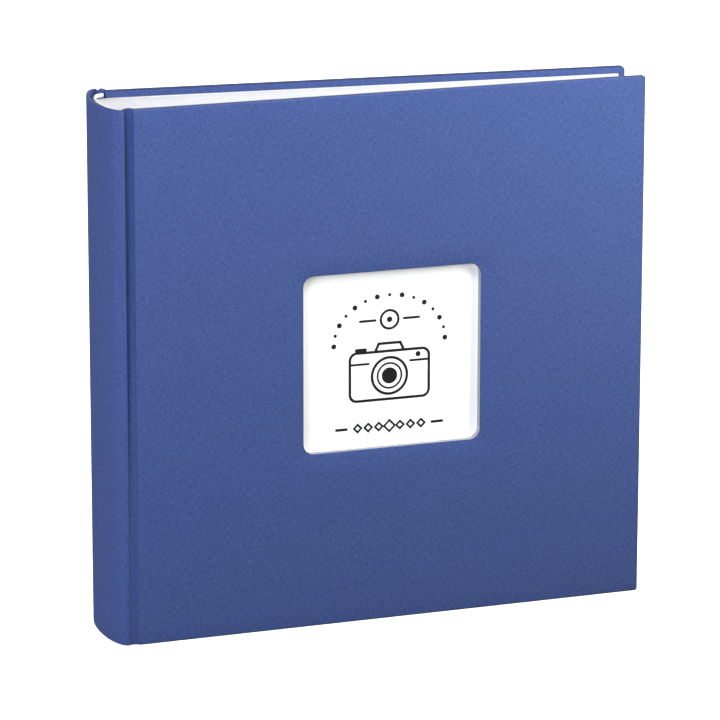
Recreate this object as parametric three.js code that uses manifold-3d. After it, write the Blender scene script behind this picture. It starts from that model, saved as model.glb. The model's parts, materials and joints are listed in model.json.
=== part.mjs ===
// A standing scrapbook album: cloth-covered boards on a rounded spine, with a picture window
// in the front cover and card leaves on guards.
//
// Millimetres, +Z up. The album stands on its tail edges with its spine towards -X and its
// front cover towards -Y. The origin is the middle of the album's footprint.
// Local cover coordinates: u runs from the joint to the fore-edge, s goes in from the outer
// face, and z is the height.

import * as THREE from "three";
import { mergeVertices } from "three/addons/utils/BufferGeometryUtils.js";
import Module from "manifold-3d";

const wasm = await Module();
wasm.setup();

// ---- driving dimensions ----

const HEIGHT = 300; // covers and spine
const COVER_WIDTH = 300; // joint to fore-edge, along the cover
const SPINE_THICKNESS = 64; // over both covers at the joints
const FORE_EDGE_THICKNESS = 36.5; // over both covers at the fore-edge
const COVER_THICKNESS = 5;
const SQUARE = 4; // how far the covers stand out past the leaves at head and foot
const FORE_SQUARE = 8; // and at the fore-edge
const GROOVE_WIDTH = 6;
const SPINE_BULGE = 9;
const CLOTH = 0.4;
const GAP = 0.05; // between layers that are glued together
const PASTEDOWN = 0.25;
const TURN_IN = 16; // cloth folded round onto the inside of a board
const WINDOW = { width: 105, height: 101, radius: 6, centreU: 149, centreZ: 150 };
const CARD = { width: 126, height: 121, radius: 2, thickness: 0.4 };
const POCKET = { side: 7, strip: 0.6, backing: 0.3, lip: 5, play: 0.5, thumbRadius: 9 };
const LEAF_COUNT = 40;
const LEAF = 0.4;
const FLYLEAF = 0.3;
const GUARD = 1.05; // thickness of the stub that each leaf is folded from
const FIRST_CREASE = 7; // from the joint to the crease of the outermost sheets
const FAN_STEP = 5; // degrees between neighbouring sheets when a cover lies open
const FAN_GAP = 0.12; // least air between neighbouring sheets in the open fan
const CREASE_GAP = 0.55; // between a stub and the leaf that turns on it

// ---- what follows from them ----

const TAPER = Math.atan((SPINE_THICKNESS - FORE_EDGE_THICKNESS) / 2 / COVER_WIDTH);
const FORE_EDGE_X = COVER_WIDTH * Math.cos(TAPER);
const SPINE_X = -GROOVE_WIDTH - SPINE_BULGE;
const CENTRE_X = (FORE_EDGE_X + SPINE_X) / 2;
const HALF_SPINE = SPINE_THICKNESS / 2;
const CASE_INNER = HALF_SPINE - COVER_THICKNESS; // to the covers' inner faces at the joints

const SHEET_COUNT = LEAF_COUNT + 2; // the leaves and the two flyleaves
const HALF_SHEETS = SHEET_COUNT / 2;
const FRONT_AIR = POCKET.strip + POCKET.backing + 0.4; // the pocket fits in front of the sheets
const BACK_AIR = 0.35;
const PAGE_TOP = HEIGHT - SQUARE;
const PAGE_HEIGHT = HEIGHT - 2 * SQUARE;

// The spine is half an ellipse through both shoulders. Its layers lie at depths below its
// surface, and a turn is the angle in radians that they reach round to on either side.
const SHOULDER = { x: -GROOVE_WIDTH, y: HALF_SPINE - 1 };
const HOLLOW = 0.57;
const INLAY = { thickness: 1, depth: CLOTH + GAP, turn: 1.13 };
const LINING = { thickness: 0.3, depth: INLAY.depth + INLAY.thickness + HOLLOW, turn: 1.06 };
const MULL = { thickness: 0.25, depth: LINING.depth + LINING.thickness + GAP, turn: 1.06 };
const BACK_DEPTH = MULL.depth + MULL.thickness + GAP; // of the sheets' glued back
const HEADBAND = { thickness: 1.8, depth: BACK_DEPTH, turn: 1.06, height: 1.9 };
const ROUND_STEPS = 24;
const LINING_INSET = 12; // from the ends of the spine
const MULL_INSET = 10;

// The glued back of the sheets: its flat flanks, its round, and where the stubs part.
const BLOCK_BACK = { flank: CASE_INNER - 0.5, turn: 1.12, rootX: -2 };

// The groove's floor lies on the inner face of the case, just inside the boards.
const GROOVE_FLOOR = CASE_INNER + 0.5;

// ---- solids ----

function solidOf(geometry) {
  const bare = geometry.index ? geometry.toNonIndexed() : geometry.clone();
  bare.deleteAttribute("normal");
  bare.deleteAttribute("uv");
  const merged = mergeVertices(bare, 1e-4);
  return new wasm.Manifold(
    new wasm.Mesh({
      numProp: 3,
      vertProperties: new Float32Array(merged.attributes.position.array),
      triVerts: new Uint32Array(merged.index.array),
    }),
  );
}

function geometryOf(solid) {
  const mesh = solid.getMesh();
  const geometry = new THREE.BufferGeometry();
  geometry.setAttribute("position", new THREE.BufferAttribute(mesh.vertProperties, 3));
  geometry.setIndex(new THREE.BufferAttribute(mesh.triVerts, 1));
  return geometry;
}

function block(low, high) {
  const size = high.map((value, axis) => value - low[axis]);
  const middle = high.map((value, axis) => (value + low[axis]) / 2);
  return new THREE.BoxGeometry(...size).translate(...middle);
}

const cut = (from, ...tools) =>
  geometryOf(tools.reduce((solid, tool) => solid.subtract(solidOf(tool)), solidOf(from)));

// An outline in plan, drawn up from one height to another.
function upright(shape, zLow, zHigh) {
  const options = { depth: zHigh - zLow, bevelEnabled: false, curveSegments: 6 };
  return new THREE.ExtrudeGeometry(shape, options).translate(0, 0, zLow);
}

// A strip of even thickness along a line of points in plan.
function ribbon(points, thickness) {
  const side = (point, i, sign) => {
    const before = points[Math.max(i - 1, 0)];
    const after = points[Math.min(i + 1, points.length - 1)];
    const along = after.clone().sub(before).normalize();
    const offset = (sign * thickness) / 2;
    return new THREE.Vector2(point.x - along.y * offset, point.y + along.x * offset);
  };
  const left = points.map((point, i) => side(point, i, 1));
  const right = points.map((point, i) => side(point, i, -1)).reverse();
  return new THREE.Shape([...left, ...right]);
}

// Points at a depth below the spine's surface, from the front half round to the back half.
function spineRound(depth, turn) {
  return Array.from({ length: ROUND_STEPS + 1 }, (_, i) => {
    const angle = turn * ((2 * i) / ROUND_STEPS - 1);
    const [c, s] = [Math.cos(angle), Math.sin(angle)];
    const outward = new THREE.Vector2(-c / SPINE_BULGE, s / SHOULDER.y).normalize();
    return new THREE.Vector2(SHOULDER.x - SPINE_BULGE * c, SHOULDER.y * s).addScaledVector(
      outward,
      -depth,
    );
  });
}

// A rounded rectangle in the plane of a cover, cut or raised through s.
function windowPrism(width, height, radius, sLow, sHigh) {
  const [w, h] = [width / 2, height / 2];
  const shape = new THREE.Shape();
  shape.absarc(w - radius, h - radius, radius, 0, Math.PI / 2);
  shape.absarc(radius - w, h - radius, radius, Math.PI / 2, Math.PI);
  shape.absarc(radius - w, radius - h, radius, Math.PI, 1.5 * Math.PI);
  shape.absarc(w - radius, radius - h, radius, 1.5 * Math.PI, 2 * Math.PI);
  return upright(shape, -sHigh, -sLow)
    .rotateX(Math.PI / 2)
    .translate(WINDOW.centreU, 0, WINDOW.centreZ);
}

const windowCut = () =>
  windowPrism(WINDOW.width, WINDOW.height, WINDOW.radius, -1, COVER_THICKNESS + 1);

// ---- covers ----

const BOARD_INNER = COVER_THICKNESS - PASTEDOWN - CLOTH - 2 * GAP; // s of the board's inner face
const SKIN = CLOTH + GAP;

const boardBlock = () =>
  block([SKIN, SKIN, SKIN], [COVER_WIDTH - SKIN, BOARD_INNER, HEIGHT - SKIN]);

// The cloth lies on the outer face and folds round three edges onto the inside.
function clothWrap() {
  const foldedDepth = BOARD_INNER + SKIN;
  const sheet = block([0, 0, 0], [COVER_WIDTH, foldedDepth, HEIGHT]);
  const roomForBoard = block(
    [-1, CLOTH, CLOTH],
    [COVER_WIDTH - CLOTH, BOARD_INNER + GAP, HEIGHT - CLOTH],
  );
  const inside = block(
    [-1, CLOTH, TURN_IN],
    [COVER_WIDTH - TURN_IN, foldedDepth + 1, HEIGHT - TURN_IN],
  );
  return [sheet, roomForBoard, inside];
}

// The pastedown covers the turn-ins by all but the square, and dips to the board between them.
function pastedownSheet() {
  const sLow = COVER_THICKNESS - PASTEDOWN;
  const edge = SQUARE;
  const thin = block([1, sLow, edge], [COVER_WIDTH - edge, COVER_THICKNESS, HEIGHT - edge]);
  const dip = TURN_IN + GAP;
  const thick = block(
    [1, BOARD_INNER + GAP, dip],
    [COVER_WIDTH - dip, COVER_THICKNESS, HEIGHT - dip],
  );
  return geometryOf(solidOf(thin).add(solidOf(thick)));
}

// A card pocket, glued at its sides and foot behind the window and open at its head.
function windowPocket() {
  const sLow = COVER_THICKNESS + GAP;
  const sMouth = sLow + POCKET.strip;
  const halfWidth = CARD.width / 2 + POCKET.side;
  const foot = WINDOW.centreZ - CARD.height / 2 - POCKET.side;
  const head = WINDOW.centreZ + CARD.height / 2 - POCKET.lip;
  const left = WINDOW.centreU - halfWidth;
  const right = WINDOW.centreU + halfWidth;
  const thumb = new THREE.CylinderGeometry(
    POCKET.thumbRadius,
    POCKET.thumbRadius,
    4,
    24,
  ).translate(WINDOW.centreU, sMouth, head);
  return cut(
    block([left, sLow, foot], [right, sMouth + POCKET.backing, head]),
    block(
      [left + POCKET.side - POCKET.play, sLow - 1, foot + POCKET.side - POCKET.play],
      [right - POCKET.side + POCKET.play, sMouth, head + 1],
    ),
    thumb,
  );
}

function windowCard() {
  const sLow = COVER_THICKNESS + 2 * GAP;
  return windowPrism(CARD.width, CARD.height, CARD.radius, sLow, sLow + CARD.thickness);
}

// ---- spine ----

// The spine cloth runs from the foot of one groove, over the round, to the foot of the other.
function spineClothLine() {
  const round = spineRound(CLOTH / 2, Math.PI / 2);
  const lip = [
    [-0.6, GROOVE_FLOOR],
    [-4.0, GROOVE_FLOOR],
    [-4.8, GROOVE_FLOOR + 0.5],
    [-5.1, GROOVE_FLOOR + 1.5],
    [-5.2, SHOULDER.y - 0.9],
  ];
  const front = lip.map(([x, y]) => new THREE.Vector2(x, -y));
  const back = lip.map(([x, y]) => new THREE.Vector2(x, y)).reverse();
  return [...front, ...round, ...back];
}

// The sheets lie side by side between the covers, closer at the fore-edge than at the spine.
function sheetY(index, x) {
  const inner = HALF_SPINE - x * Math.tan(TAPER) - COVER_THICKNESS / Math.cos(TAPER);
  const room = 2 * inner - FRONT_AIR - BACK_AIR;
  return -inner + FRONT_AIR + (room * (index + 0.5)) / SHEET_COUNT;
}

// Sheets count from the nearer cover: 0 is the flyleaf, and its fan angle is the largest.
const rank = (index) => Math.min(index, SHEET_COUNT - 1 - index);
const fanAngle = (index) => (HALF_SHEETS - rank(index)) * FAN_STEP;

// Each crease steps out past the one before it, so that turned sheets lie clear of each other.
function creaseX(index) {
  const pitch = sheetY(1, FIRST_CREASE) - sheetY(0, FIRST_CREASE);
  let x = FIRST_CREASE;
  for (let i = 0; i < rank(index); i++) {
    const angle = THREE.MathUtils.degToRad((fanAngle(i) + fanAngle(i + 1)) / 2);
    x += Math.max(0, (LEAF + FAN_GAP - pitch * Math.cos(angle)) / Math.sin(angle));
  }
  return x;
}

// The guards: one stub for each sheet, joined by the glue at the rounded back.
function guardOutline() {
  const { flank, turn, rootX } = BLOCK_BACK;
  const points = spineRound(BACK_DEPTH, turn);
  points.push(new THREE.Vector2(rootX, flank));
  for (let i = SHEET_COUNT - 1; i >= 0; i--) {
    const tip = creaseX(i) - CREASE_GAP;
    points.push(new THREE.Vector2(rootX, sheetY(i, rootX) + GUARD / 2));
    points.push(new THREE.Vector2(tip, sheetY(i, tip) + GUARD / 2));
    points.push(new THREE.Vector2(tip, sheetY(i, tip) - GUARD / 2));
    points.push(new THREE.Vector2(rootX, sheetY(i, rootX) - GUARD / 2));
  }
  points.push(new THREE.Vector2(rootX, -flank));
  return new THREE.Shape(points);
}

const spineStrip = ({ depth, turn, thickness }, zLow, zHigh) =>
  upright(ribbon(spineRound(depth + thickness / 2, turn), thickness), zLow, zHigh);

// ---- sheets ----

// A leaf hangs on its crease, so it is made there and turned to its place in the wedge.
function sheetMesh(index, thickness, name, material) {
  const x = creaseX(index);
  const far = FORE_EDGE_X - FORE_SQUARE;
  const [yNear, yFar] = [sheetY(index, x), sheetY(index, far)];
  const length = Math.hypot(far - x, yFar - yNear);
  const start = CREASE_GAP / 2;
  const sheet = block(
    [start, -thickness / 2, SQUARE],
    [length, thickness / 2, PAGE_TOP],
  );
  const mesh = named(name, sheet, material);
  mesh.position.set(x, yNear, 0);
  mesh.rotation.z = Math.atan2(yFar - yNear, far - x);
  return mesh;
}

// ---- materials ----

const paint = (color, roughness) =>
  new THREE.MeshStandardMaterial({ color, roughness, metalness: 0 });

const blueCloth = () => paint(0x51649f, 0.9);
const greyBoard = () => paint(0x9a9a9c, 0.95);
const whiteCard = () => paint(0xf2f1ec, 0.85);
const whitePaper = () => paint(0xf7f6f2, 0.9);
const cotton = () => paint(0xe9e6dc, 0.95);

function named(name, geometry, material) {
  const mesh = new THREE.Mesh(geometry, material);
  mesh.name = name;
  return mesh;
}

// ---- assembly ----

function frontCover() {
  const cover = new THREE.Group();
  cover.position.set(0, -HALF_SPINE, 0);
  cover.rotation.z = TAPER;
  cover.add(
    named("front_board", cut(boardBlock(), windowCut()), greyBoard()),
    named("front_cloth", cut(...clothWrap(), windowCut()), blueCloth()),
    named("front_pastedown", cut(pastedownSheet(), windowCut()), whitePaper()),
    named("window_pocket", windowPocket(), whiteCard()),
    named("window_card", windowCard(), whiteCard()),
  );
  return cover;
}

// The back cover is the same case turned over, with no window.
function backCover() {
  const turned = new THREE.Group();
  turned.rotation.x = Math.PI;
  turned.position.z = HEIGHT;
  turned.add(
    named("back_board", boardBlock(), greyBoard()),
    named("back_cloth", cut(...clothWrap()), blueCloth()),
    named("back_pastedown", pastedownSheet(), whitePaper()),
  );
  const cover = new THREE.Group();
  cover.position.set(0, HALF_SPINE, 0);
  cover.rotation.z = -TAPER;
  cover.add(turned);
  return cover;
}

function spine() {
  const group = new THREE.Group();
  const bandFoot = SQUARE - GAP - HEADBAND.height;
  const bandHead = PAGE_TOP + GAP;
  group.add(
    named("spine_cloth", upright(ribbon(spineClothLine(), CLOTH), 0, HEIGHT), blueCloth()),
    named("spine_inlay", spineStrip(INLAY, CLOTH, HEIGHT - CLOTH), greyBoard()),
    named(
      "spine_lining",
      spineStrip(LINING, LINING_INSET, HEIGHT - LINING_INSET),
      whitePaper(),
    ),
    named("spine_mull", spineStrip(MULL, MULL_INSET, HEIGHT - MULL_INSET), cotton()),
    named("page_guards", upright(guardOutline(), SQUARE, PAGE_TOP), whiteCard()),
    named(
      "headband_head",
      spineStrip(HEADBAND, bandHead, bandHead + HEADBAND.height),
      cotton(),
    ),
    named(
      "headband_tail",
      spineStrip(HEADBAND, bandFoot, bandFoot + HEADBAND.height),
      cotton(),
    ),
  );
  return group;
}

function pages() {
  const group = new THREE.Group();
  group.add(sheetMesh(0, FLYLEAF, "front_flyleaf", whitePaper()));
  for (let i = 1; i <= LEAF_COUNT; i++)
    group.add(sheetMesh(i, LEAF, "leaf_" + String(i).padStart(2, "0"), whiteCard()));
  group.add(sheetMesh(SHEET_COUNT - 1, FLYLEAF, "back_flyleaf", whitePaper()));
  return group;
}

const album = new THREE.Group();
album.position.x = -CENTRE_X;
album.add(frontCover(), backCover(), spine(), pages());

export default album;
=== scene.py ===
"""Looks of the scrapbook album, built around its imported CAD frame.

Lengths in this file are millimetres in "album" axes (x from the joint ridge, y from the middle
of the spine, z up) until mm() turns them into the frame's metres.
"""

import json
import math
import random

import bmesh
import bpy
import numpy as np
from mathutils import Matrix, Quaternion, Vector, noise


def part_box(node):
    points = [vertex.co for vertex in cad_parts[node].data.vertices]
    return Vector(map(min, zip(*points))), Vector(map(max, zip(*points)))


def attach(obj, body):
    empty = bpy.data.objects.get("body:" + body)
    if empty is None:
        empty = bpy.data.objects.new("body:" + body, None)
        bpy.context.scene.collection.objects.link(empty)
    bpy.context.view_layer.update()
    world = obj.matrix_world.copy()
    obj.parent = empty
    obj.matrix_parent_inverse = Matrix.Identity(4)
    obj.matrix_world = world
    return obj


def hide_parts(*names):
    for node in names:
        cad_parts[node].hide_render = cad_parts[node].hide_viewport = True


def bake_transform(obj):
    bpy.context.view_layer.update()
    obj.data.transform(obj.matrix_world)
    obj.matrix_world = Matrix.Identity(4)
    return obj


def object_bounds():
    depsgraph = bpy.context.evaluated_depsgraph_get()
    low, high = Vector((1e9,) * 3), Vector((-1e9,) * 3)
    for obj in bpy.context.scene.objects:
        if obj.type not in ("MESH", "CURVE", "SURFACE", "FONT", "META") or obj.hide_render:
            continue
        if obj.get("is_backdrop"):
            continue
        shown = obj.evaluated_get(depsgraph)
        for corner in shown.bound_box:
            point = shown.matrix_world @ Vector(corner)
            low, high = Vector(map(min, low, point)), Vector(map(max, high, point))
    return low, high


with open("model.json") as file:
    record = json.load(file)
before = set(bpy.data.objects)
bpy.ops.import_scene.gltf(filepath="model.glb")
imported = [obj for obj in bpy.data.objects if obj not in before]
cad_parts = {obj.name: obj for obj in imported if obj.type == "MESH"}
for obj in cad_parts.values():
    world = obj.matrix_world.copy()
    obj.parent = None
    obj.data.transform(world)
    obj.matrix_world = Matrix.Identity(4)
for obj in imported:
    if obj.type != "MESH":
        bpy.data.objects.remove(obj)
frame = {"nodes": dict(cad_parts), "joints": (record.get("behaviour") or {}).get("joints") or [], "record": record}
cad_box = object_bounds()
record = frame["record"]
joints = {j["name"]: j for j in frame["joints"]}
random.seed(7)

# ---- measures taken from the frame ----

spine_low, spine_high = (v * 1000 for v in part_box("spine_cloth"))
SPINE_DEPTH = 15.0  # groove and bulge, from the joint ridge to the back of the spine
RIDGE = spine_low.x + SPINE_DEPTH
HEIGHT = spine_high.z
HALF = cad_box[1].y * 1000
back_face = next(m for m in record["mounts"] if m["name"] == "back_cover_face")
TAPER = math.atan2(back_face["axis"][0], back_face["axis"][1])
WIDTH = (cad_box[1].x * 1000 - RIDGE) / math.cos(TAPER)
BOARD_TOTAL = 5.0  # a cover with its cloth and its pastedown
CLOTH_THICK, PASTEDOWN_THICK = 0.38, 0.24
FLYLEAF_THICK, LEAF_THICK = 0.3, 0.4
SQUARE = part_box("leaf_01")[0].z * 1000  # the sheets stop this far short of the covers' edges
GROOVE = 6.0  # from the joint ridge to the spine's shoulder
SHOULDER_Y = HALF - 1
BULGE = SPINE_DEPTH - GROOVE
WINDOW = dict(u=149.0, z=150.0, w=105.0, h=101.0, r=6.0)
CARD = dict(w=126.0, h=121.0, r=2.0, front=5.1, thick=0.4)
TURN_IN = 16.0  # width of the cloth that is folded in over a cover's edges


def mm(x, y, z):
    return Vector(((x + RIDGE) / 1000, y / 1000, z / 1000))


def front(u, s, z):
    """A point of the front cover: along it from the joint, in from its outer face, and up."""
    c, t = math.cos(TAPER), math.sin(TAPER)
    return mm(u * c - s * t, -HALF + u * t + s * c, z)


def back(u, s, z):
    p = front(u, s, z)
    return Vector((p.x, -p.y, p.z))


def soft_step(value, start, end):
    """From 0 at start to 1 at end, level at both."""
    f = min(1.0, max(0.0, (value - start) / (end - start)))
    return f * f * (3 - 2 * f)


def spine_round(turn, depth=0.0):
    """A point below the spine's half ellipse, in plan; turn runs from the front half round."""
    c, s = math.cos(turn), math.sin(turn)
    out = Vector((-c / BULGE, s / SHOULDER_Y)).normalized()
    return Vector((-GROOVE - BULGE * c, SHOULDER_Y * s)) - out * depth


# ---- mesh helpers ----


def add_mesh(name, verts, faces, material, threads=None, smooth=True):
    """threads gives each point's place on the flat cloth and the weight of the painted shade there."""
    data = bpy.data.meshes.new(name)
    data.from_pydata([tuple(v) for v in verts], [], faces)
    data.validate()
    if threads is not None:
        layer = data.attributes.new("thread", "FLOAT_VECTOR", "POINT")
        layer.data.foreach_set("vector", np.array(threads, np.float32).ravel())
    data.shade_smooth() if smooth else data.shade_flat()
    obj = bpy.data.objects.new(name, data)
    bpy.context.scene.collection.objects.link(obj)
    data.materials.append(material)
    return obj


def grid_faces(rows, cols, closed=False, flip=False):
    """Quads between rows of points; closed joins each row's last point to its first."""
    faces = []
    for i in range(rows - 1):
        for j in range(cols if closed else cols - 1):
            a, b = i * cols + j, i * cols + (j + 1) % cols
            quad = (a, b, b + cols, a + cols)
            faces.append(quad[::-1] if flip else quad)
    return faces


def solidify(obj, thickness):
    mod = obj.modifiers.new("thickness", "SOLIDIFY")
    mod.thickness, mod.offset = thickness / 1000, -1


def outward(obj):
    work = bmesh.new()
    work.from_mesh(obj.data)
    bmesh.ops.recalc_face_normals(work, faces=work.faces)
    work.to_mesh(obj.data)
    work.free()


def crisp(obj, angle):
    """Faces turned outward, with a sharp shading edge wherever they meet at more than angle."""
    outward(obj)
    obj.data.set_sharp_from_angle(angle=math.radians(angle))


def bevelled(obj, width, segments=2, angle=40):
    mod = obj.modifiers.new("edges", "BEVEL")
    mod.width, mod.segments = width / 1000, segments
    mod.limit_method, mod.angle_limit = "ANGLE", math.radians(angle)


def finish_piece(obj, body, slot, *nodes):
    """Hide the nodes the piece stands for, and let it ride on its body; a body given as
    (body, body, start, end) only fixes the piece where it stands. slot is not used."""
    if nodes:
        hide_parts(*nodes)
    if isinstance(body, str):
        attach(obj, body)
    else:
        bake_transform(obj)
    return obj


def rounded_loop(u0, u1, z0, z1, radii, inset=0.0, per_side=14, per_corner=7):
    """A rounded rectangle in (u, z), anticlockwise, from the foot's fore-edge corner. The radii
    are those of the corners: foot fore-edge, head fore-edge, head joint, foot joint."""
    u0, u1, z0, z1 = u0 + inset, u1 - inset, z0 + inset, z1 - inset
    rs = [max(r - inset, 0.04) for r in radii]
    centres = [
        (u1 - rs[0], z0 + rs[0]),
        (u1 - rs[1], z1 - rs[1]),
        (u0 + rs[2], z1 - rs[2]),
        (u0 + rs[3], z0 + rs[3]),
    ]
    points = []
    for i in range(4):
        (cu, cz), r, start = centres[i], rs[i], -90 + 90 * i
        for k in range(per_corner + 1):
            a = math.radians(start + 90 * k / per_corner)
            points.append((cu + r * math.cos(a), cz + r * math.sin(a)))
        (nu, nz), nr = centres[(i + 1) % 4], rs[(i + 1) % 4]
        a = math.radians(start + 90)
        end = (nu + nr * math.cos(a), nz + nr * math.sin(a))
        here = points[-1]
        for k in range(1, per_side):
            f = k / per_side
            points.append((here[0] + (end[0] - here[0]) * f, here[1] + (end[1] - here[1]) * f))
    return points


def blend_loops(a, b, f):
    """The loop a share f of the way from a to b."""
    return [(p[0] + (q[0] - p[0]) * f, p[1] + (q[1] - p[1]) * f) for p, q in zip(a, b)]


def window_loop(grow=0.0):
    w, h, r = WINDOW["w"] / 2 + grow, WINDOW["h"] / 2 + grow, WINDOW["r"] + grow
    u, z = WINDOW["u"], WINDOW["z"]
    return rounded_loop(u - w, u + w, z - h, z + h, [r] * 4)


# ---- node materials ----


class Nodes:
    """A material's node tree, built a line at a time."""

    def __init__(self, name):
        self.material = bpy.data.materials.new(name)
        self.material.use_nodes = True
        self.tree = self.material.node_tree
        self.shader = self.tree.nodes["Principled BSDF"]

    def put(self, source, socket):
        """Link the source to the socket if it is an output, or else set it as the value."""
        if isinstance(source, bpy.types.NodeSocket):
            self.tree.links.new(source, socket)
        else:
            socket.default_value = source

    def node(self, kind, out=0, ins=(), **props):
        n = self.tree.nodes.new(kind)
        for key, value in props.items():
            setattr(n, key, value)
        for key, value in dict(ins).items():
            self.put(value, n.inputs[key])
        return n.outputs[out]

    def math(self, operation, *values):
        ins = {i: v for i, v in enumerate(values)}
        return self.node("ShaderNodeMath", ins=ins, operation=operation)

    def scaled(self, vector, scale):
        ins = {0: vector, 1: scale}
        return self.node("ShaderNodeVectorMath", ins=ins, operation="MULTIPLY")

    def noise(self, vector, scale=1.0, detail=2.0, rough=0.5):
        ins = {"Vector": vector, "Scale": scale, "Detail": detail, "Roughness": rough}
        return self.node("ShaderNodeTexNoise", out="Fac", ins=ins)

    def remap(self, value, low, high, new_low=0.0, new_high=1.0):
        ins = {0: value, 1: low, 2: high, 3: new_low, 4: new_high}
        return self.node("ShaderNodeMapRange", ins=ins)

    def mix(self, factor, a, b, kind="MIX"):
        n = self.tree.nodes.new("ShaderNodeMix")
        n.data_type, n.blend_type = "RGBA", kind
        self.put(factor, n.inputs[0])
        self.put(a, n.inputs[6])
        self.put(b, n.inputs[7])
        return n.outputs[2]

    def split(self, vector):
        n = self.tree.nodes.new("ShaderNodeSeparateXYZ")
        self.put(vector, n.inputs[0])
        return n.outputs

    def thread(self):
        """Coordinates along the cloth's threads, in millimetres, and the weight of the painted edge shade."""
        return self.node("ShaderNodeAttribute", out="Vector", attribute_name="thread")

    def place(self):
        """Coordinates fixed to the piece, in millimetres."""
        coords = self.node("ShaderNodeTexCoord", out="Object")
        return self.scaled(coords, (1000, 1000, 1000))

    def bump(self, height, strength, distance):
        ins = {"Strength": strength, "Distance": distance / 1000, "Height": height}
        return self.node("ShaderNodeBump", ins=ins)

    def finish(self, colour, roughness, normal=None, **uniform):
        self.put(colour, self.shader.inputs["Base Color"])
        self.put(roughness, self.shader.inputs["Roughness"])
        if normal is not None:
            self.put(normal, self.shader.inputs["Normal"])
        for key, value in uniform.items():
            self.shader.inputs[key.replace("_", " ")].default_value = value
        return self.material


def weave_height(n, vector, pitch):
    """A plain weave: two sets of threads that go over and under in turn, each uneven."""
    sway = n.noise(n.scaled(vector, (0.08, 0.08, 0.08)), detail=1.0)
    across, up, _ = n.split(vector)
    drift = n.math("MULTIPLY", n.math("SUBTRACT", sway, 0.5), 1.6)
    turn = math.pi / pitch
    a = n.math("SINE", n.math("MULTIPLY", n.math("ADD", across, drift), turn))
    b = n.math("SINE", n.math("MULTIPLY", n.math("ADD", up, drift), turn))
    return n.math("MULTIPLY", a, b), n.math("ABSOLUTE", a), n.math("ABSOLUTE", b)


CLOTH_DARK = (0.0400, 0.0694, 0.2195, 1)
CLOTH_LIGHT = (0.0714, 0.1136, 0.3165, 1)
CLOTH_EDGE_SHADE = (0.010, 0.014, 0.040, 1)  # painted shade on the cloth where it turns over a board's edge
EDGE_SHADE_WEIGHT = 0.72
THREAD_PITCH = 0.5


def cloth_material():
    n = Nodes("bookcloth")
    thread = n.thread()
    # the painted edge shade's weight, carried in the thread attribute
    edge = n.math("MULTIPLY", n.split(thread)[2], EDGE_SHADE_WEIGHT)
    over, warp_gap, weft_gap = weave_height(n, thread, THREAD_PITCH)
    warp = n.noise(n.scaled(thread, (1.7, 0.38, 1)), detail=1.5, rough=0.6)
    weft = n.noise(n.scaled(thread, (0.38, 1.7, 1)), detail=1.5, rough=0.6)
    fuzz = n.noise(n.scaled(thread, (2.2, 2.2, 1)), detail=2.0, rough=0.6)
    mottle = n.noise(n.scaled(thread, (0.05, 0.05, 1)), detail=3.0, rough=0.55)
    uneven = n.math("ADD", n.math("ADD", warp, weft), n.math("MULTIPLY", fuzz, 0.8))
    tone = n.remap(uneven, 1.14, 1.66, 0.0, 1.0)
    tone = n.math("ADD", tone, n.math("MULTIPLY", over, 0.10))
    tone = n.math("ADD", tone, n.math("MULTIPLY", n.math("SUBTRACT", mottle, 0.5), 0.25))
    # painted shade: the cloth darkens toward a near-black blue where that weight is set
    colour = n.mix(edge, n.mix(tone, CLOTH_DARK, CLOTH_LIGHT), CLOTH_EDGE_SHADE)
    gaps = n.math("MULTIPLY", warp_gap, weft_gap)
    height = n.math("ADD", n.math("MULTIPLY", gaps, 0.5), n.math("MULTIPLY", over, 0.35))
    height = n.math("ADD", height, n.math("MULTIPLY", uneven, 0.9))
    normal = n.bump(height, 0.55, 0.06)
    return n.finish(
        colour,
        n.remap(uneven, 1.1, 1.7, 0.86, 0.74),
        normal,
        Sheen_Weight=0.08,
        Sheen_Roughness=0.45,
        Sheen_Tint=(0.62, 0.72, 1.0, 1.0),
        Specular_IOR_Level=0.2,
    )


def board_material():
    n = Nodes("greyboard_fibre")
    place = n.place()
    fibre = n.noise(n.scaled(place, (1.4, 5.5, 1.4)), detail=4.0, rough=0.7)
    fleck = n.noise(n.scaled(place, (6, 6, 6)), detail=2.0)
    speck = n.remap(fleck, 0.62, 0.70)
    colour = n.mix(fibre, (0.22, 0.22, 0.235, 1), (0.47, 0.47, 0.485, 1))
    colour = n.mix(n.math("MULTIPLY", speck, 0.5), colour, (0.13, 0.12, 0.12, 1))
    return n.finish(colour, n.remap(fibre, 0.3, 0.7, 0.88, 0.97), n.bump(fibre, 0.5, 0.15))


def paper_material(name, low, high, scale=2.2, relief=0.02, rough=(0.62, 0.8), painted_glow=0.0):
    """Pulp between two colours; scale is its fineness and relief its height in millimetres. glow is painted light:
    an emission that brightens the paper whatever the lamps.
    """
    n = Nodes(name)
    place = n.place()
    pulp = n.noise(n.scaled(place, (scale, scale, scale)), detail=3.0, rough=0.65)
    cloud = n.noise(n.scaled(place, (0.045, 0.045, 0.045)), detail=2.0)
    shade = n.remap(n.math("ADD", pulp, n.math("MULTIPLY", cloud, 0.35)), 0.43, 0.92)
    colour = n.mix(shade, (*low, 1), (*high, 1))
    normal = n.bump(pulp, 0.4, relief)
    return n.finish(colour, n.remap(pulp, 0.3, 0.7, *rough), normal, Emission_Strength=painted_glow)


def ink_material():
    n = Nodes("print_ink")
    place = n.place()
    grain = n.noise(n.scaled(place, (4, 4, 4)), detail=3.0, rough=0.7)
    colour = n.mix(grain, (0.002, 0.002, 0.0025, 1), (0.007, 0.007, 0.0075, 1))
    return n.finish(colour, n.remap(grain, 0.3, 0.7, 0.5, 0.66), n.bump(grain, 0.3, 0.01))


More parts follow.
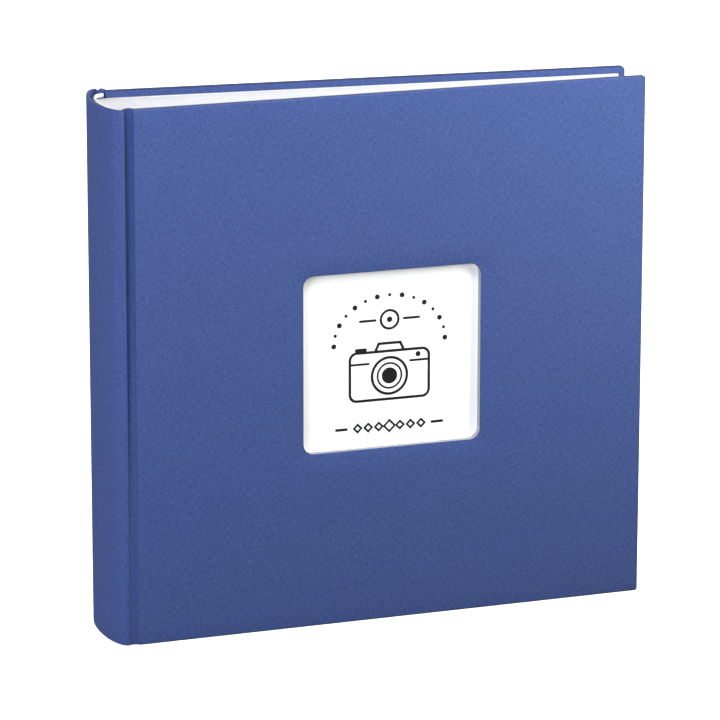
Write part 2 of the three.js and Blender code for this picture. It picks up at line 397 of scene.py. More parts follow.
def cotton_material():
    n = Nodes("headband_cotton")
    place = n.place()
    twist = n.noise(n.scaled(place, (7, 7, 3)), detail=3.0, rough=0.65)
    colour = n.mix(twist, (0.74, 0.74, 0.735, 1), (0.90, 0.90, 0.895, 1))
    return n.finish(colour, n.remap(twist, 0.3, 0.7, 0.8, 0.95), n.bump(twist, 0.6, 0.08))


GAUZE_PITCH = 0.8


def gauze_material():
    n = Nodes("mull_gauze")
    _, across, up = n.split(n.place())
    turn = math.pi / GAUZE_PITCH
    a = n.math("SINE", n.math("MULTIPLY", across, turn))
    b = n.math("SINE", n.math("MULTIPLY", up, turn))
    net = n.math("MAXIMUM", n.math("ABSOLUTE", a), n.math("ABSOLUTE", b))
    thread = n.remap(net, 0.55, 0.95)
    colour = n.mix(thread, (0.30, 0.27, 0.21, 1), (0.74, 0.72, 0.66, 1))
    return n.finish(colour, n.remap(net, 0.4, 1.0, 0.8, 0.94), n.bump(thread, 0.8, 0.12))


CLOTH = cloth_material()
BOARD = board_material()
ENDPAPER = paper_material("endpaper_pulp", (0.74, 0.74, 0.73), (0.86, 0.86, 0.855))
LEAF = paper_material("leaf_card_pulp", (0.67, 0.68, 0.71), (0.79, 0.80, 0.83), 3.0, 0.03)
GLUED = paper_material("glued_back_pulp", (0.57, 0.58, 0.61), (0.68, 0.69, 0.72), 3.0, 0.03)
POCKET = paper_material("pocket_card_pulp", (0.70, 0.69, 0.66), (0.82, 0.81, 0.79), 2.6, 0.03)
# the picture card glows a little, painted light that lifts the shade cast in the window's recess
PICTURE = paper_material(
    "picture_card_pulp", (0.90, 0.90, 0.90), (0.97, 0.97, 0.97), 4.0, 0.008, (0.42, 0.55), 0.2
)
KRAFT = paper_material("kraft_pulp", (0.30, 0.21, 0.13), (0.47, 0.34, 0.22), 1.6, 0.04)
INK = ink_material()
COTTON = cotton_material()
GAUZE = gauze_material()

# ---- covers ----

COVER_EDGE = 1.0  # rounding of the cloth over the board's outer edges
COVER_INNER_EDGE = 0.8
CLOTH_IN = 4.7  # depth at which the turned-in cloth lies
BOARD_OUT, BOARD_IN = 0.45, 4.25  # depths of the board's two faces
WINDOW_LIP = [(0.02, 0.62), (0.02, 0.4), (0.06, 0.2), (0.18, 0.07), (0.4, 0.0)]
CLOTH_RINGS = 9  # from the window, or the middle of a plain cover, to the rim


def edge_profile():
    """(inset, depth) from the outer face, over the edge, to the turn-in's cut edge."""
    r, q = COVER_EDGE, COVER_INNER_EDGE
    quarter = [math.radians(90 * k / 6) for k in range(7)]
    points = [(r * (1 - math.sin(a)), r * (1 - math.cos(a))) for a in quarter]
    points += [(0.0, 1.9), (0.0, 2.9)]
    points += [(q * (1 - math.cos(a)), CLOTH_IN - q * (1 - math.sin(a))) for a in quarter]
    points += [(3.0, CLOTH_IN), (6.0, CLOTH_IN), (11.0, CLOTH_IN), (TURN_IN - 0.1, CLOTH_IN)]
    points += [(TURN_IN, CLOTH_IN - 0.12), (TURN_IN, CLOTH_IN - 0.3)]
    return points


def cover_cloth(name, place, radii, window, node, body):
    """The cloth of a cover, from the window's lip, or all over, to its turned-in edge."""
    outline = dict(u0=0, u1=WIDTH, z0=0, z1=HEIGHT, radii=radii)
    rim = rounded_loop(**outline, inset=COVER_EDGE)
    rings, depths, laid = [], [], []

    def ring(loop, depth, flat=None, beyond=0.0, edge=0.0):
        """flat is the loop's place on the cloth before folding, but for the run beyond it, and edge is the weight
        of the painted shade there.
        """
        rings.append(loop)
        depths.append(depth)
        laid.append((flat or loop, beyond, edge))

    if window:
        for grow, depth in WINDOW_LIP:
            ring(window_loop(grow), depth)
        inner = rings[-1]
    else:
        inner = rounded_loop(40, 260, 40, 260, [6] * 4)
        ring(inner, 0.0)
    for k in range(1, CLOTH_RINGS):
        ring(blend_loops(inner, rim, k / CLOTH_RINGS), 0.0)
    travelled, before = 0.0, None
    for inset, depth in edge_profile():
        if before:
            travelled += math.hypot(inset - before[0], depth - before[1])
        before = (inset, depth)
        # painted shade on the cloth over the board's edge faces, fading out over the roundings on either side
        edge = soft_step(depth, 0.4, 0.95) * (1 - soft_step(inset, 0.2, 0.7))
        ring(rounded_loop(**outline, inset=inset), depth, rim, travelled, edge)
    verts, threads = [], []
    for loop, depth, (flat, beyond, edge) in zip(rings, depths, laid):
        for (u, z), (flat_u, flat_z) in zip(loop, flat):
            out = rim_direction(u, z)
            verts.append(place(u, depth, z))
            # painted edge shade at the fore-edge, head and foot, none at the joint
            edge_shade = edge if out[0] >= 0 else 0.0
            threads.append((flat_u + out[0] * beyond, flat_z + out[1] * beyond, edge_shade))
    cols = len(rim)
    mirrored = place is back
    faces = grid_faces(len(rings), cols, closed=True, flip=not mirrored)
    if not window:
        middle = tuple(range(cols))
        faces.append(middle[::-1] if mirrored else middle)
    obj = add_mesh(name, verts, faces, CLOTH, threads)
    solidify(obj, CLOTH_THICK)
    return finish_piece(obj, body, "cover_cloth", node)


def rim_direction(u, z):
    """Which way the cloth runs on past a cover's edge nearest to (u, z)."""
    gaps = [(WIDTH - u, (1, 0)), (HEIGHT - z, (0, 1)), (z, (0, -1)), (u, (-1, 0))]
    return min(gaps)[1]


def board(name, place, radii, window, node, body):
    """A cover's board, with layered walls at the window where it has one."""
    outline = dict(u0=0, u1=WIDTH, z0=0, z1=HEIGHT, radii=radii)
    profile = [(1.2, BOARD_OUT), (BOARD_OUT + 0.15, BOARD_OUT + 0.05)]
    profile += [(BOARD_OUT, BOARD_OUT + 0.3), (BOARD_OUT, BOARD_IN - 0.25)]
    profile += [(BOARD_OUT + 0.1, BOARD_IN - 0.05), (1.2, BOARD_IN)]
    rings = [(rounded_loop(**outline, inset=inset), depth) for inset, depth in profile]
    if window:
        outer, inner = rings[0][0], rings[-1][0]
        mouth = window_loop(0.35)
        walls = [0.6 + (BOARD_IN - 0.6) * k / 5 for k in range(6)]
        hole = [(mouth, BOARD_OUT), (window_loop(0.05), BOARD_OUT + 0.03)]
        hole += [(window_loop(0.02 * (k % 2)), depth) for k, depth in enumerate(walls)]
        hole += [(mouth, BOARD_IN)]
        face = [(blend_loops(mouth, outer, k / 6), BOARD_OUT) for k in range(5, 0, -1)]
        inside = [(blend_loops(mouth, inner, k / 6), BOARD_IN) for k in range(1, 6)]
        rings = face + hole + inside + rings[::-1]
    verts = [place(u, depth, z) for loop, depth in rings for u, z in loop]
    cols, last = len(rings[0][0]), (len(rings) - 1) * len(rings[0][0])
    faces = grid_faces(len(rings), cols, closed=True)
    if window:
        for j in range(cols):
            k = (j + 1) % cols
            faces.append((last + j, last + k, k, j))
    else:
        faces.append(tuple(range(cols)))
        faces.append(tuple(range(last, last + cols))[::-1])
    obj = add_mesh(name, verts, faces, BOARD)
    crisp(obj, 35)
    return finish_piece(obj, body, "greyboard", node)


FRONT_CORNERS = [1.5, 1.5, 1.1, 1.1]
BACK_CORNERS = [2.4, 2.4, 1.1, 1.1]

cover_cloth("front_cover_cloth", front, FRONT_CORNERS, True, "front_cloth", "front_cover")
cover_cloth("back_cover_cloth", back, BACK_CORNERS, False, "back_cloth", "back_cover")
board("front_cover_board", front, FRONT_CORNERS, True, "front_board", "front_cover")
board("back_cover_board", back, BACK_CORNERS, False, "back_board", "back_cover")

# ---- spine and grooves ----


STRIP_REACH = 14.0  # how far the strips' folded ends run back down inside
HEAD_FOLD_SHADE = 0.6  # painted shade, darkening the cloth over the head fold
THREAD_OFFSET = {  # keeps the strips' weave clear of the covers' own
    "front_groove_cloth": -12.0,
    "back_groove_cloth": 90.0,
    "spine_cover_cloth": -80.0,
}


def wrapped_strip(name, plan, rolls, body, nodes, lift, fill=None, deepen=1):
    """Cloth along a plan line, folded over at head and tail. rolls are the folds' thicknesses,
    lift raises the head edge at each station, fill moves a station out toward the tail, and
    deepen is how much of that fill is lost on the way up to the head."""
    points = [Vector(p) for p in plan]
    count = len(points)
    verts, threads, along = [], [], THREAD_OFFSET[name]
    for i, p in enumerate(points):
        a, b = points[max(i - 1, 0)], points[min(i + 1, count - 1)]
        run = (b - a).normalized()
        inward = Vector((-run.y, run.x))
        if i:
            along += (p - points[i - 1]).length
        roll = rolls[i]
        for (depth, z), length in zip(*strip_section(roll, STRIP_REACH)):
            q = p + inward * depth
            if fill:
                q.y += fill[i] * (1 - deepen * soft_step(z, 20, 230))
            z += lift[i] * max(0.0, (z - HEIGHT * 0.9) / (HEIGHT * 0.1)) ** 3
            verts.append(mm(q.x, q.y, z))
            # painted shade on the cloth where it folds over the head
            head_fold_shaded = z > HEIGHT - roll / 2 and 0.12 * roll < depth < 0.9 * roll
            threads.append((along, length, HEAD_FOLD_SHADE if head_fold_shaded else 0.0))
    cols = len(verts) // count
    obj = add_mesh(name, verts, grid_faces(count, cols, flip=True), CLOTH, threads)
    solidify(obj, CLOTH_THICK)
    return finish_piece(obj, body, "cover_cloth", *nodes)


def strip_section(roll, reach):
    """(depth, z) from the tail turn-in's edge, round the tail, up the face and over the head."""
    r = roll / 2
    turn = [math.radians(180 * k / 8) for k in range(9)]
    tail = [(r + r * math.cos(a), r - r * math.sin(a)) for a in turn]
    head = [(r - r * math.cos(a), HEIGHT - r + r * math.sin(a)) for a in turn]
    face = [(0.0, HEIGHT * k / 24) for k in range(1, 24)]
    points = [(roll, reach), (roll, reach / 2)] + tail + face + head
    points += [(roll, HEIGHT - reach / 2), (roll, HEIGHT - reach)]
    lengths = [-reach]
    for a, b in zip(points, points[1:]):
        lengths.append(lengths[-1] + math.hypot(b[0] - a[0], b[1] - a[1]))
    return points, lengths


FLOOR = HALF - BOARD_TOTAL + 0.7  # outer face of the cloth at the foot of the groove
INLAY_TURN, LINING_TURN = 1.13, 1.06  # how far round the stiffener and the linings reach
CREASE_DIP = 0.35  # of the cloth past the stiffener's long edges
JOINT_START = {-1: -4.7, 1: -4.2}  # where the groove begins, front and back


def spine_plan():
    """Round the spine from its back joint to its front joint, with both edges curled in."""
    steps = 72
    arc = []
    for i in range(steps + 1):
        turn = (math.pi / 2 - 0.05) * (2 * i / steps - 1)
        past = soft_step(abs(turn), INLAY_TURN, INLAY_TURN + 0.09)
        back_out = soft_step(abs(turn), INLAY_TURN + 0.12, math.pi / 2)
        arc.append(tuple(spine_round(turn, CREASE_DIP * past * (1 - back_out))))
    curl = [(-0.64, -0.02), (-0.32, -0.14), (-0.1, -0.5), (-0.02, -1.1), (0.0, -1.9)]
    back_curl = [(JOINT_START[1] + x, SHOULDER_Y + y) for x, y in curl]
    front_curl = [(JOINT_START[-1] + x, -SHOULDER_Y - y) for x, y in curl]
    return (front_curl[::-1] + arc + back_curl)[::-1]


def groove_plan(sign):
    """From the spine's shoulder, across the groove's floor, to the foot of the cover's edge."""
    start = JOINT_START[sign]
    line = [
        (start, SHOULDER_Y - 1.7),
        (start + 0.06, FLOOR + 1.0),
        (start + 0.2, FLOOR + 0.55),
        (start + 0.5, FLOOR + 0.2),
        (start * 0.6 - 1.0, FLOOR + 0.04),
        (-3.2, FLOOR),
        (-2.4, FLOOR),
        (-1.6, FLOOR + 0.03),
        (-1.0, FLOOR + 0.2),
        (-0.55, FLOOR + 0.5),
        (-0.25, FLOOR + 0.95),
        (-0.08, FLOOR + 1.6),
        (-0.03, FLOOR + 2.3),
    ]
    points = [(x, sign * y) for x, y in line]
    return points if sign < 0 else points[::-1]


STIFF_FOLD, SOFT_FOLD = 1.9, 1.0  # thickness of a fold over the stiffener, and of one without it


def spine_cover():
    line = spine_plan()
    rolls = [SOFT_FOLD + (STIFF_FOLD - SOFT_FOLD) * soft_step(-x, 8.6, 9.9) for x, _ in line]
    lift = [0.95 * soft_step(y, 6, 30) for _, y in line]
    wrapped_strip("spine_cover_cloth", line, rolls, "spine", ["spine_cloth"], lift)


def groove_strip(name, cover, sign, rise, crest, share, deepen):
    """A joint's cloth, pressed in at the head and share filled at the tail. Its head edge
    rises by rise at x = crest."""
    line = groove_plan(sign)
    lift = [rise * math.exp(-(((x - crest) / 1.7) ** 2)) for x, _ in line]
    fill = [sign * share * max(0.0, HALF - 0.4 - abs(y)) for _, y in line]
    body = ("spine", cover, mm(-5.0, sign * HALF, 0), mm(-0.4, sign * HALF, 0))
    wrapped_strip(name, line, [SOFT_FOLD] * len(line), body, [], lift, fill, deepen)


spine_cover()
groove_strip("front_groove_cloth", "front_cover", -1, 0.45, -1.4, 0.62, 1)
groove_strip("back_groove_cloth", "back_cover", 1, 1.3, -1.8, 0.7, 0.15)


def round_slab(name, depth, thick, reach, z0, z1, material, slot, node, steps=48, rows=16):
    """A strip bent round the spine at a depth below its surface, with slightly soft ends."""
    ring = [(0.0, z0 + 0.2), (0.12, z0), (thick - 0.12, z0), (thick, z0 + 0.2)]
    ring += [(thick, z0 + (z1 - z0) * k / rows) for k in range(1, rows)]
    ring += [(thick, z1 - 0.2), (thick - 0.12, z1), (0.12, z1), (0.0, z1 - 0.2)]
    ring += [(0.0, z1 - (z1 - z0) * k / rows) for k in range(1, rows)]
    verts = []
    for i in range(steps + 1):
        turn = reach * (2 * i / steps - 1)
        for below, z in ring:
            verts.append(mm(*spine_round(turn, depth + below), z))
    cols = len(ring)
    faces = grid_faces(steps + 1, cols, closed=True)
    faces.append(tuple(range(cols)))
    faces.append(tuple(range(steps * cols, (steps + 1) * cols))[::-1])
    obj = add_mesh(name, verts, faces, material)
    crisp(obj, 50)
    return finish_piece(obj, "spine", slot, node)


# depths of the layers below the spine's surface
INLAY_DEPTH = 0.45
LINING_DEPTH = INLAY_DEPTH + 1.57
MULL_DEPTH = LINING_DEPTH + 0.35
BACK_DEPTH = MULL_DEPTH + 1.5

for name, depth, thick, reach, short, material, slot, node in (
    ("spine_stiffener", INLAY_DEPTH, 0.95, INLAY_TURN, 1.2, BOARD, "greyboard", "spine_inlay"),
    ("spine_kraft_lining", LINING_DEPTH, 0.3, LINING_TURN, 12, KRAFT, "lining_paper",
     "spine_lining"),
    ("spine_gauze", MULL_DEPTH, 0.25, LINING_TURN, 10, GAUZE, "mull", "spine_mull"),
):
    round_slab(name, depth, thick, reach, short, HEIGHT - short, material, slot, node)


BAND_DEPTH = 1.8
BAND_END = -1.6  # x where the headbands stop, beside the joints
BAND_THREAD = 0.75  # from one turn of the headband's thread to the next


def headband(name, node, z0, z1, rise):
    """A cotton band over a cord, ribbed by its turns of thread. It follows the back of the
    block and runs on along both flanks, where it rises by rise."""
    bend, flank, around = 210, 40, 14
    path = []
    for i in range(-bend, bend + 1):
        turn = LINING_TURN * i / bend
        at = spine_round(turn, BACK_DEPTH + BAND_DEPTH / 2)
        path.append((at, (at - spine_round(turn, 0)).normalized()))
    corner, inward = path[-1]
    for i in range(1, flank + 1):
        f = i / flank
        turned = (inward * (1 - f) + Vector((0, -1)) * f).normalized()
        x = corner.x + (BAND_END - corner.x) * f
        at = Vector((x, corner.y + 0.35 * math.sin(f * math.pi / 2)))
        path.append((at, turned))
        path.insert(0, (Vector((at.x, -at.y)), Vector((turned.x, -turned.y))))
    steps, verts, along = len(path) - 1, [], 0.0
    for i, (middle, inward) in enumerate(path):
        along += (middle - path[i - 1][0]).length if i else 0.0
        end = min(1.0, (steps / 2 - abs(i - steps / 2)) / 5)
        tilt = rise * soft_step(abs(i - steps / 2), bend * 0.8, steps / 2)
        for k in range(around):
            t = 2 * math.pi * k / around
            rib = 1 + 0.07 * math.sin(along * 2 * math.pi / BAND_THREAD + t)
            size = rib * (0.35 + 0.65 * math.sqrt(end))
            q = middle - inward * (math.cos(t) * BAND_DEPTH / 2 * 0.93 * size)
            z = (z0 + z1) / 2 + math.sin(t) * (z1 - z0) / 2 * 0.93 * size + tilt
            verts.append(mm(q.x, q.y, z))
    faces = grid_faces(steps + 1, around, closed=True)
    faces.append(tuple(range(around)))
    faces.append(tuple(range(steps * around, (steps + 1) * around))[::-1])
    obj = add_mesh(name, verts, faces, COTTON)
    outward(obj)
    return finish_piece(obj, "spine", "headband", node)


for end, down, up in (("head", 0.0, 0.7), ("tail", -0.7, 0.0)):
    low, high = (v.z * 1000 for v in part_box("headband_" + end))
    headband("headband_cord_" + end, "headband_" + end, low + down, high + up, down + up)

# ---- sheets ----

leaf_names = sorted(n for n in frame["nodes"] if n.startswith("leaf_"))
sheet_names = ["front_flyleaf", *leaf_names, "back_flyleaf"]


def sheet_line(name):
    """A sheet's crease, its direction in plan and its length."""
    crease = Vector(joints[name + "_turn"]["pos_m"]) * 1000
    crease.x -= RIDGE
    verts = [v.co * 1000 for v in frame["nodes"][name].data.vertices]
    reach = max(v.x for v in verts)
    far = [v for v in verts if v.x > reach - 5]
    tip = sum(far, Vector()) / len(far)
    run = Vector((tip.x - RIDGE - crease.x, tip.y - crease.y))
    return Vector((crease.x, crease.y)), run.normalized(), run.length


def sway(t, z):
    """Slow bending that all the sheets share, so that they stay clear of one another."""
    far = min(1.0, t / 60)
    return far * 0.16 * noise.noise(Vector((t / 110, z / 120, 3.1)))


NEAR_CREASE = [-0.5, -0.35, -0.2, -0.08, 0.08, 0.2, 0.35, 0.5, 0.9, 2, 6]


def sheet(name, thickness, material, slot):
    """A sheet scored at its crease, where it is made thinner."""
    crease, run, length = sheet_line(name)
    side = Vector((-run.y, run.x))
    trim = random.uniform(-0.25, 0.1)
    low, high = SQUARE + random.uniform(0, 0.1), HEIGHT - SQUARE + random.uniform(-0.2, 0.0)
    near = NEAR_CREASE[-1]
    stations = NEAR_CREASE + [near + (length + trim - near) * k / 20 for k in range(1, 21)]
    heights = [low + (high - low) * k / 14 for k in range(15)]
    verts = []
    for face in (1, -1):
        for t in stations:
            for z in heights:
                scored = 0.72 if abs(t) < 0.3 else 1.0
                offset = face * scored * thickness / 2 + sway(t, z)
                p = crease + run * t + side * offset
                verts.append(mm(p.x, p.y, z))
    rows, cols = len(stations), len(heights)
    faces = grid_faces(rows, cols)
    second = [tuple(i + rows * cols for i in f[::-1]) for f in faces]
    border = [i * cols for i in range(rows)]
    border += [(rows - 1) * cols + j for j in range(1, cols)]
    border += [i * cols + cols - 1 for i in range(rows - 2, -1, -1)]
    border += [j for j in range(cols - 2, 0, -1)]
    sides = []
    for i, a in enumerate(border):
        b = border[(i + 1) % len(border)]
        sides.append((a, a + rows * cols, b + rows * cols, b))
    obj = add_mesh(name + "_sheet", verts, faces + second + sides, material)
    crisp(obj, 50)
    start, end = crease - run * 0.45, crease + run * 0.45
    body = ("spine", name, mm(start.x, start.y, 0), mm(end.x, end.y, 0))
    return finish_piece(obj, body, slot, name)


sheet("front_flyleaf", FLYLEAF_THICK, ENDPAPER, "endpaper")
for leaf_name in leaf_names:
    sheet(leaf_name, LEAF_THICK, LEAF, "leaf_card")
sheet("back_flyleaf", FLYLEAF_THICK, ENDPAPER, "endpaper")


def page_block():
    """The glued back of the block and the stubs that the sheets are folded from."""
    verts, faces = [], []

    def prism(outline, z0, z1):
        """An upright solid on this plan outline, its ends drawn in slightly."""
        start, count = len(verts), len(outline)
        soft_end = 0.12
        middle = Vector((sum(p[0] for p in outline), sum(p[1] for p in outline))) / count
        for z, shrink in ((z0, soft_end), (z0 + soft_end, 0), (z1 - soft_end, 0), (z1, soft_end)):
            for x, y in outline:
                toward = middle - Vector((x, y))
                step = min(shrink, toward.length / 2)
                p = Vector((x, y)) + toward.normalized() * step
                verts.append(mm(p.x, p.y, z))
        for k in range(3):
            for j in range(count):
                a = start + k * count + j
                b = start + k * count + (j + 1) % count
                faces.append((a, b, b + count, a + count))
        faces.append(tuple(range(start, start + count))[::-1])
        faces.append(tuple(range(start + 3 * count, start + 4 * count)))

    flank, half_turn = HALF - BOARD_TOTAL - 0.6, 1.11
    hull = [tuple(spine_round(half_turn * (i / 20 - 1), BACK_DEPTH)) for i in range(41)]
    hull += [(-2.6, flank), (-2.0, flank - 0.3), (-2.0, 0.3 - flank), (-2.6, -flank)]
    prism(hull, SQUARE, HEIGHT - SQUARE)
    for name in sheet_names:
        crease, run, _ = sheet_line(name)
        side = Vector((-run.y, run.x))
        root, tip = (-2.3 - crease.x) / run.x, -0.56
        outline = [(root, -0.46), (tip - 0.3, -0.46), (tip - 0.08, -0.35), (tip, -0.12)]
        outline += [(t, -w) for t, w in outline[::-1]]
        points = [crease + run * t + side * w for t, w in outline]
        uneven = random.uniform(-0.12, 0.06)
        prism([tuple(p) for p in points], SQUARE, HEIGHT - SQUARE + uneven)
    obj = add_mesh("page_block_back", verts, faces, GLUED)
    crisp(obj, 35)
    return finish_piece(obj, "spine", "leaf_card", "page_guards")


page_block()

# ---- endpapers, pocket and picture ----


def pastedown(name, place, window, node, body):
    """Paper over the cover's inside, which sinks slightly where the turned-in cloth ends."""
    outline = dict(u0=1.0, u1=WIDTH - SQUARE, z0=SQUARE, z1=HEIGHT - SQUARE)
    outline["radii"] = [0.6, 0.6, 0.3, 0.3]
    insets = [0.0, 3.0, 6.0, 9.0, 11.0, 11.8, 12.4, 13.2, 16.0, 22.0]
    rings = [(rounded_loop(**outline, inset=i), sink(i)) for i in insets]
    if window:
        last, sunk = rings[-1]
        for k in range(1, 7):
            rings.append((blend_loops(last, window_loop(0.3), k / 7), sunk))
        rings += [(window_loop(g), sunk) for g in (0.3, 0.06)]
    verts = [place(u, BOARD_TOTAL - d, z) for loop, d in rings for u, z in loop]
    cols = len(rings[0][0])
    mirrored = place is back
    faces = grid_faces(len(rings), cols, closed=True, flip=not mirrored)
    if not window:
        last = tuple(range((len(rings) - 1) * cols, len(rings) * cols))
        faces.append(last if mirrored else last[::-1])
    obj = add_mesh(name, verts, faces, ENDPAPER)
    solidify(obj, PASTEDOWN_THICK)
    return finish_piece(obj, body, "endpaper", node)


def sink(inset):
    edge = TURN_IN - SQUARE
    return 0.16 * soft_step(inset, edge - 0.8, edge + 0.8)


pastedown("front_endpaper", front, True, "front_pastedown", "front_cover")
pastedown("back_endpaper", back, False, "back_pastedown", "back_cover")


def plate(verts, faces, outline, place, s0, s1):
    """A flat piece of card with this outline in (u, z), between two depths."""
    start, count = len(verts), len(outline)
    for s in (s0, s1):
        verts.extend(place(u, s, z) for u, z in outline)
    for j in range(count):
        k = (j + 1) % count
        faces.append((start + j, start + k, start + count + k, start + count + j))
    faces.append(tuple(range(start, start + count))[::-1])
    faces.append(tuple(range(start + count, start + 2 * count)))


POCKET_SIDE = 7.0  # the pocket's width past the card
POCKET_STRIPS = (5.02, 5.64)  # depths of its glued strips
POCKET_BACKING = (5.65, 5.92)
THUMB_RADIUS = 9.0


def arc(centre, radius, start, sweep, steps):
    """Points round a centre; start and sweep are in degrees."""
    turn = [math.radians(start + sweep * k / steps) for k in range(steps + 1)]
    return [(centre[0] + radius * math.cos(a), centre[1] + radius * math.sin(a)) for a in turn]


def pocket():
    """Three glued strips and a backing sheet with a thumb cut, open at the head."""
    foot, head = (v.z * 1000 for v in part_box("window_pocket"))
    half = CARD["w"] / 2 + POCKET_SIDE
    u0, u1 = WINDOW["u"] - half, WINDOW["u"] + half
    rim, corner, top = 6.5, 3.0, head - 0.3
    verts, faces = [], []
    cut = arc((WINDOW["u"], head), THUMB_RADIUS, 180, 180, 20)
    base = arc((u0 + corner, foot + corner), corner, 180, 90, 6)
    base += arc((u1 - corner, foot + corner), corner, 270, 90, 6)
    backing = base + [(u1, head)] + cut[::-1] + [(u0, head)]
    plate(verts, faces, backing, front, *POCKET_BACKING)
    inner = [(u1 - rim, top), (u1 - rim, foot + rim), (u0 + rim, foot + rim), (u0 + rim, top)]
    plate(verts, faces, base + [(u1, top)] + inner + [(u0, top)], front, *POCKET_STRIPS)
    obj = add_mesh("card_pocket", verts, faces, POCKET)
    crisp(obj, 40)
    bevelled(obj, 0.08)
    return finish_piece(obj, "front_cover", "pocket_card", "window_pocket")


pocket()


def picture_card():
    w, h, u, z = CARD["w"] / 2, CARD["h"] / 2, WINDOW["u"], WINDOW["z"]
    outline = dict(u0=u - w, u1=u + w, z0=z - h, z1=z + h, radii=[CARD["r"]] * 4)
    s0, s1 = CARD["front"], CARD["front"] + CARD["thick"]
    rings = [(20.0, s0), (6.0, s0), (0.12, s0), (0.0, s0 + 0.1)]
    rings += [(0.0, s1 - 0.1), (0.12, s1), (6.0, s1), (20.0, s1)]
    verts = []
    for inset, s in rings:
        verts += [front(a, s, b) for a, b in rounded_loop(**outline, inset=inset)]
    cols = len(verts) // len(rings)
    faces = grid_faces(len(rings), cols, closed=True)
    faces.append(tuple(range(cols)))
    faces.append(tuple(range((len(rings) - 1) * cols, len(rings) * cols))[::-1])
    obj = add_mesh("picture_card", verts, faces, PICTURE)
    crisp(obj, 50)
    return finish_piece(obj, "window_card", "picture_card", "window_card")


picture_card()


INK_DEPTHS = (CARD["front"] - 0.035, CARD["front"] + 0.02)  # just proud of the card's face


class Print:
    """Flat ink shapes on the card, laid out in millimetres from the window's middle."""

    def __init__(self):
        self.verts, self.faces = [], []

    def shape(self, outline):
        points = [(WINDOW["u"] + x, WINDOW["z"] + y) for x, y in outline]
        plate(self.verts, self.faces, points, front, *INK_DEPTHS)

    def band(self, points, width, closed=False):
        """A line of even width with round ends, along points."""
        pts = [Vector(p) for p in points]
        count, h = len(pts), width / 2
        left, right = [], []
        for i, p in enumerate(pts):
            a = pts[i - 1] if (i or closed) else p
            b = pts[(i + 1) % count] if (i < count - 1 or closed) else p
            d1 = (p - a).normalized() if (p - a).length > 1e-6 else (b - p).normalized()
            d2 = (b - p).normalized() if (b - p).length > 1e-6 else d1
            run = (d1 + d2).normalized()
            side = Vector((-run.y, run.x)) * (h / max(0.35, run.dot(d1)))
            left.append(p + side)
            right.append(p - side)
        if closed:
            self.ring(left, right)
            return
        ends = []
        for centre, run in ((pts[-1], pts[-1] - pts[-2]), (pts[0], pts[0] - pts[1])):
            angle = math.atan2(run.y, run.x)
            cap = [angle + math.radians(90 - 22.5 * k) for k in range(1, 8)]
            ends.append([centre + Vector((math.cos(a), math.sin(a))) * h for a in cap])
        self.shape(left + ends[0] + right[::-1] + ends[1])

    def ring(self, outer, inner):
        """A closed band between two outlines."""
        s0, s1 = INK_DEPTHS
        start, count = len(self.verts), len(outer)
        for loop, s in ((outer, s0), (inner, s0), (inner, s1), (outer, s1)):
            for p in loop:
                self.verts.append(front(WINDOW["u"] + p[0], s, WINDOW["z"] + p[1]))
        for k in range(4):
            here, there = start + k * count, start + (k + 1) % 4 * count
            for j in range(count):
                m = (j + 1) % count
                self.faces.append((here + j, here + m, there + m, there + j))

    def circle(self, x, y, radius, width, steps=64):
        outer = arc((x, y), radius + width / 2, 0, 360, steps)[:-1]
        inner = arc((x, y), radius - width / 2, 0, 360, steps)[:-1]
        self.ring(outer, inner)

    def disc(self, x, y, radius, steps=48):
        self.shape(arc((x, y), radius, 0, 360, steps)[:-1])


def card_print():
    """A plain camera sign between an arc of dots and a row of diamonds."""
    ink = Print()
    line = 1.55
    low, high, half = -24.0, 3.5, 23.5
    body = rounded_loop(-half, half, low, high, [4.0] * 4, per_side=2, per_corner=6)
    ink.band(body, line, closed=True)
    ink.band([(-half, -3.0), (-12.4, -3.0)], 1.3)
    ink.band([(12.4, -3.0), (half, -3.0)], 1.3)
    ink.band([(-8.5, high), (-6.4, 8.0), (6.4, 8.0), (8.5, high)], line)
    ink.disc(17.0, 0.4, 1.5)
    ink.band([(-19.5, high + 1.5), (-14.5, high + 1.5)], 2.2)
    centre = -10.6
    ink.circle(0, centre, 10.4, line)
    ink.circle(0, centre, 7.1, 1.1)
    ink.disc(0, centre, 4.6)
    for k in range(15):
        a = math.radians(180 * k / 14)
        ink.disc(33.0 * math.cos(a), 8.5 + 27.0 * math.sin(a), 0.95 if k % 2 else 1.45)
    top = 21.5
    ink.circle(0, top, 5.2, 1.4)
    ink.disc(0, top, 1.6)
    ink.band([(-17.5, top), (-8.5, top)], 1.4)
    ink.band([(8.5, top), (17.5, top)], 1.4)
    foot = -39.5
    ink.band([(-31.5, foot), (-25.5, foot)], line)
    ink.band([(25.5, foot), (31.5, foot)], line)
    for k in range(-3, 4):
        x, size = 6.3 * k, 2.2 if k else 3.2
        diamond = [(x - size, foot), (x, foot + size), (x + size, foot), (x, foot - size)]
        ink.band(diamond, 1.2, closed=True)
    obj = add_mesh("card_print", ink.verts, ink.faces, INK, smooth=False)
    outward(obj)
    return finish_piece(obj, "window_card", "picture_card")


card_print()

# ---- stage, light and camera ----


AIR = 0.03  # light from all around
FLOOR_HALF, FLOOR_Z = 9.0, -0.0002  # metres


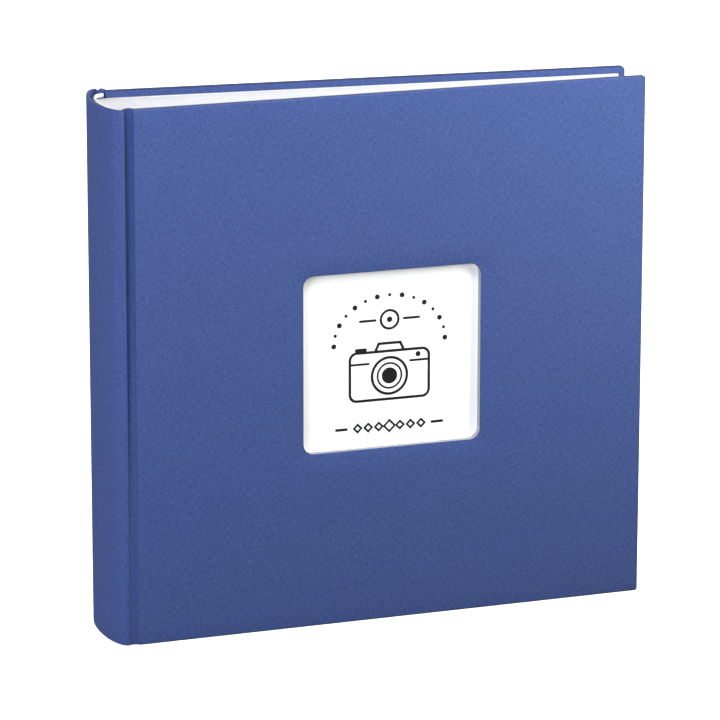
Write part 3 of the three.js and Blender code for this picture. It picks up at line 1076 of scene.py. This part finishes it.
def stage():
    n = Nodes("studio_floor")
    grain = n.noise(n.scaled(n.place(), (0.02, 0.02, 0.02)), detail=3.0)
    colour = n.mix(grain, (0.93, 0.93, 0.93, 1), (0.96, 0.96, 0.96, 1))
    material = n.finish(
        colour,
        0.9,
        Specular_IOR_Level=0.1,
        Emission_Color=(1, 1, 1, 1),
        Emission_Strength=0.75,
    )
    steps = 24
    across = [FLOOR_HALF * (2 * i / steps - 1) for i in range(steps + 1)]
    verts = [(x, y, FLOOR_Z) for x in across for y in across]
    floor = add_mesh("studio_floor", verts, grid_faces(steps + 1, steps + 1, flip=True), material)
    floor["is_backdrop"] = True
    floor.visible_diffuse = False
    floor.visible_glossy = False
    world = bpy.data.worlds.new("studio_air")
    world.use_nodes = True
    background = world.node_tree.nodes["Background"]
    background.inputs["Color"].default_value = (1, 1, 1, 1)
    background.inputs["Strength"].default_value = AIR
    bpy.context.scene.world = world


def lamp(name, place, aim, size, power, colour=(1, 1, 1)):
    """A soft rectangular light; place, aim and size are in metres and power is in watts."""
    data = bpy.data.lights.new(name, "AREA")
    data.shape, data.size, data.size_y = "RECTANGLE", size[0], size[1]
    data.energy, data.color = power, colour
    obj = bpy.data.objects.new(name, data)
    obj.location = place
    obj.rotation_mode = "QUATERNION"
    obj.rotation_quaternion = (Vector(aim) - Vector(place)).to_track_quat("-Z", "Y")
    obj.visible_camera = False
    bpy.context.scene.collection.objects.link(obj)


def sun(name, strength, spread, lean):
    """A wide light from almost straight above; lean is its turn about x and y in degrees."""
    data = bpy.data.lights.new(name, "SUN")
    data.energy, data.angle = strength, math.radians(spread)
    obj = bpy.data.objects.new(name, data)
    obj.rotation_euler = (math.radians(lean[0]), math.radians(lean[1]), 0)
    bpy.context.scene.collection.objects.link(obj)


stage()
lamp("key", (0.40, -0.30, 0.40), (0, 0, 0.18), (0.25, 0.25), 2.38, (1.0, 0.985, 0.88))
lamp("brow", (0.0, -0.40, 0.80), (0, 0, 0.18), (0.25, 0.25), 3.4)
lamp("fill", (-0.766, -0.643, 0.36), (0, 0, 0.14), (0.5, 0.4), 7.1, (0.94, 0.985, 1.09))
lamp("foot", (-0.80, 0.02, 0.05), (-0.15, 0, 0.08), (0.2, 0.2), 1.25)
lamp("rear", (0.6, 1.7, 1.2), (0, 0, 0.15), (1.2, 1.0), 18)
lamp("rear_side", (-0.9, 1.7, 0.8), (0, 0, 0.15), (1.0, 1.0), 6)
sun("zenith", 0.9, 40, (-8, 3))

YAW, PITCH, ROLL = math.radians(17.895), math.radians(13.98), math.radians(-0.066)
LENS, SENSOR = 218.23, 36
camera_data = bpy.data.cameras.new("camera")
camera_data.lens, camera_data.sensor_width = LENS, SENSOR
camera_data.clip_start, camera_data.clip_end = 0.1, 50
camera = bpy.data.objects.new("camera", camera_data)
camera.location = (-0.7330, -2.2562, 0.7345)
look = Vector(
    (math.sin(YAW) * math.cos(PITCH), math.cos(YAW) * math.cos(PITCH), -math.sin(PITCH))
)
camera.rotation_mode = "QUATERNION"
camera.rotation_quaternion = Quaternion(look, ROLL) @ look.to_track_quat("-Z", "Y")
bpy.context.scene.collection.objects.link(camera)
bpy.context.scene.camera = camera
bpy.context.scene.view_settings.view_transform = "Standard"

visual_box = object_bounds()
boxes = {"cad": cad_box, "visual": visual_box}
{k: [list(v) for v in box] for k, box in boxes.items()}
